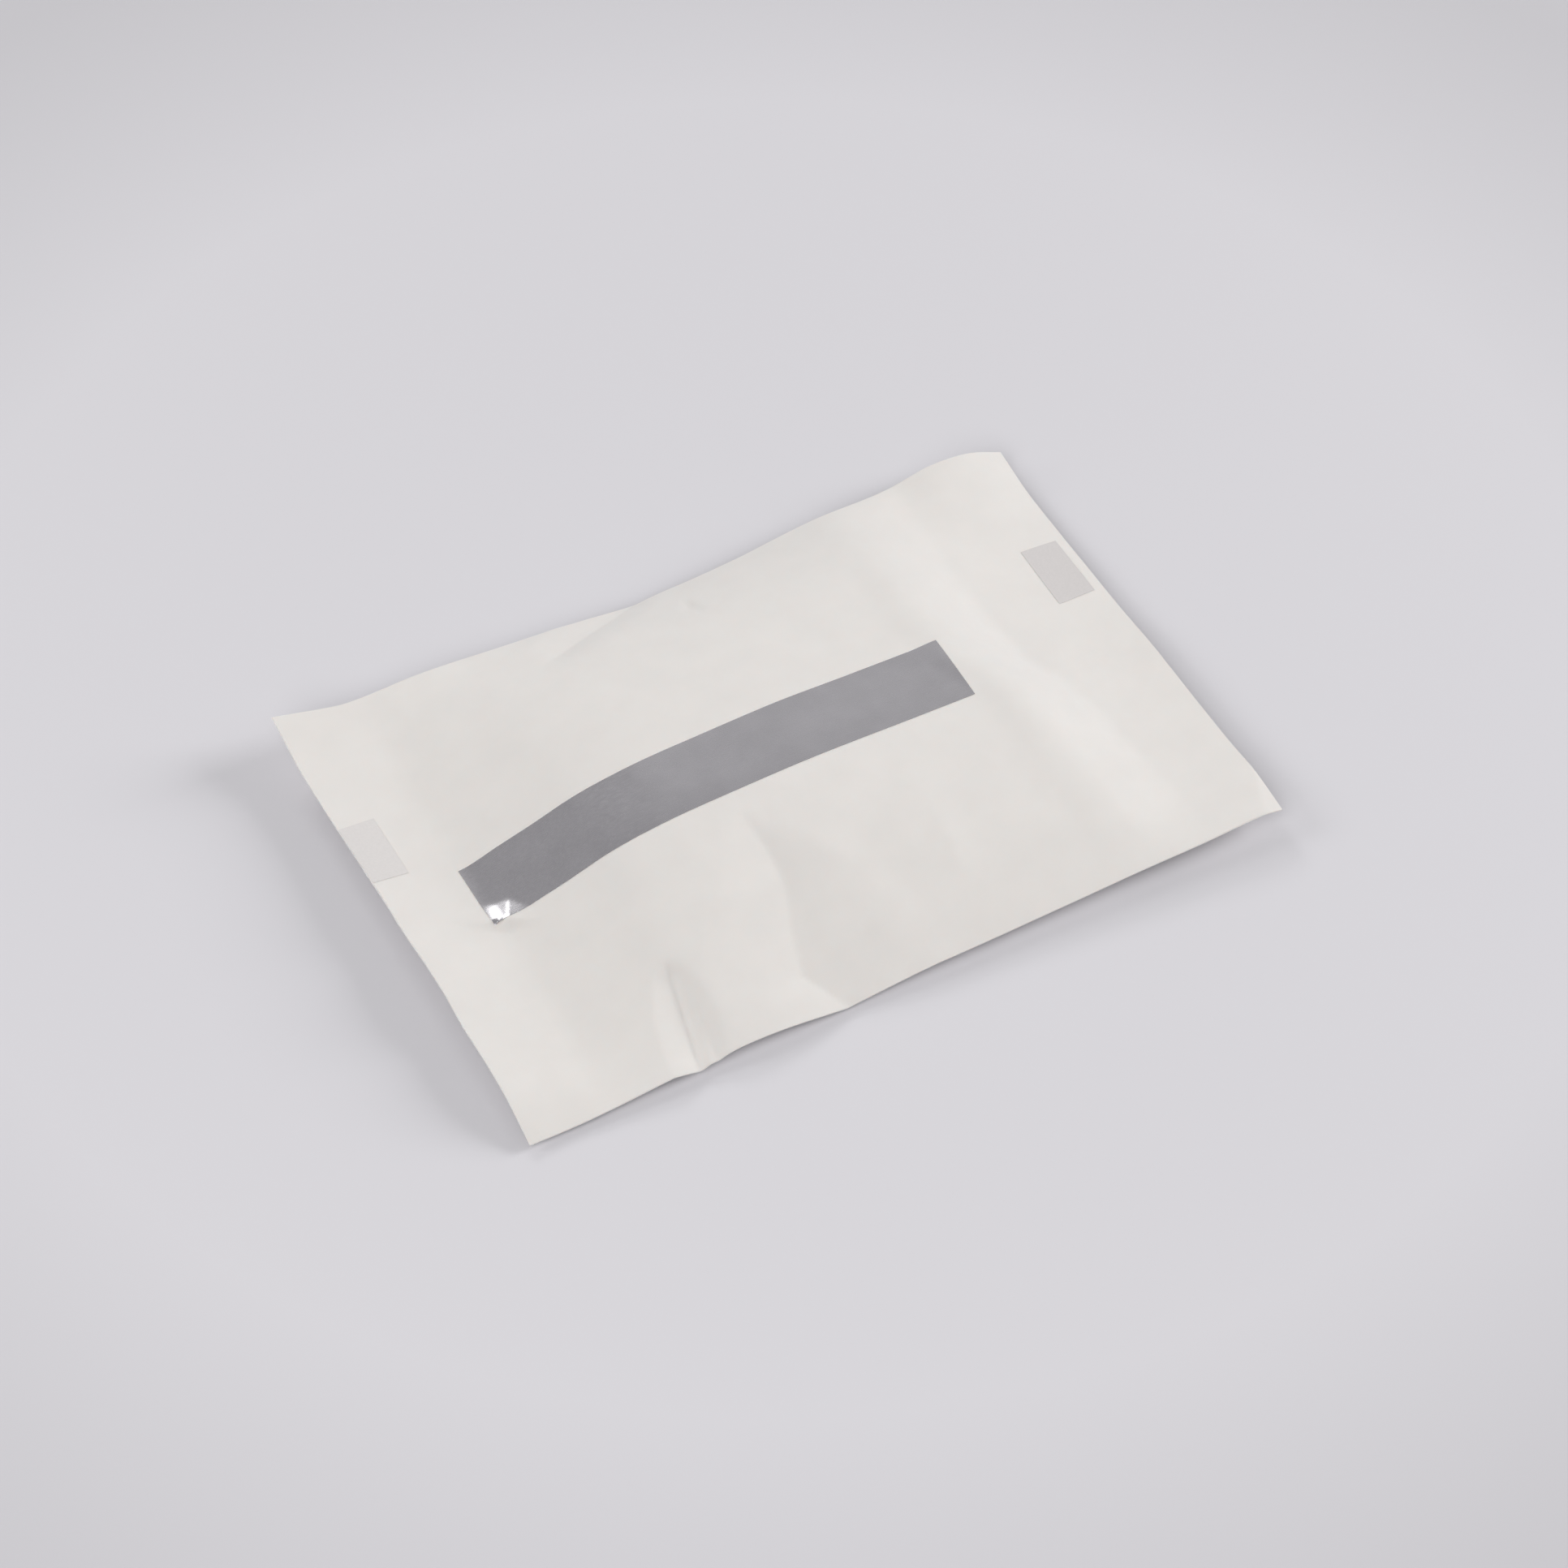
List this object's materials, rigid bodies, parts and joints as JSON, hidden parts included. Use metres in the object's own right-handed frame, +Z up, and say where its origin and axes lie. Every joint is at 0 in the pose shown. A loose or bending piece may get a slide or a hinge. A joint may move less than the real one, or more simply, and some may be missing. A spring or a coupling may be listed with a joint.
{
  "type": "shower cap in a paper sachet",
  "caption": "Flat paper sachet with end seals, a bare foil band and a tear-off end, holding a folded film shower cap with gathered hem and elastic.",
  "frame": {"origin": "centre of the sachet's footprint, on the surface that it lies on", "axes": "+X along the length towards the end that tears off, +Y towards the far side fold, +Z up through the front panel"},
  "size_m": [0.105, 0.07, 0.0105],
  "materials": {
    "paper": "off-white matte paper, lined with plastic",
    "foil": "stamped silver-grey foil, satin",
    "ink": "pale grey ink printed on the paper",
    "film": "thin milky polyethylene film",
    "elastic": "white elastic cord"
  },
  "bodies": {
    "sachet": {"front_panel": "paper", "back_panel_near": "paper", "back_panel_far": "paper", "fin_seal": "paper", "left_end_seal": "paper", "foil_band": "foil", "left_register_mark": "ink"},
    "tear_strip": {"tear_strip_front": "paper", "tear_strip_back_near": "paper", "tear_strip_back_far": "paper", "tear_strip_fin": "paper", "right_end_seal": "paper", "right_register_mark": "ink"},
    "cap": {"crown_film": "film", "cap_hem": "film", "cap_elastic": "elastic"}
  },
  "joints": [
    {"name": "cap_pull_out", "type": "slide", "parent": "sachet", "child": "cap", "axis": [1, 0, 0], "range_m": [0, 0.064]},
    {"name": "end_tear_off", "type": "slide", "parent": "sachet", "child": "tear_strip", "axis": [1, 0, 0], "range_m": [0, 0.0768]}
  ],
  "couplings": [
    {"joint": "end_tear_off", "follows": "cap_pull_out", "ratio": 1.2}
  ]
}
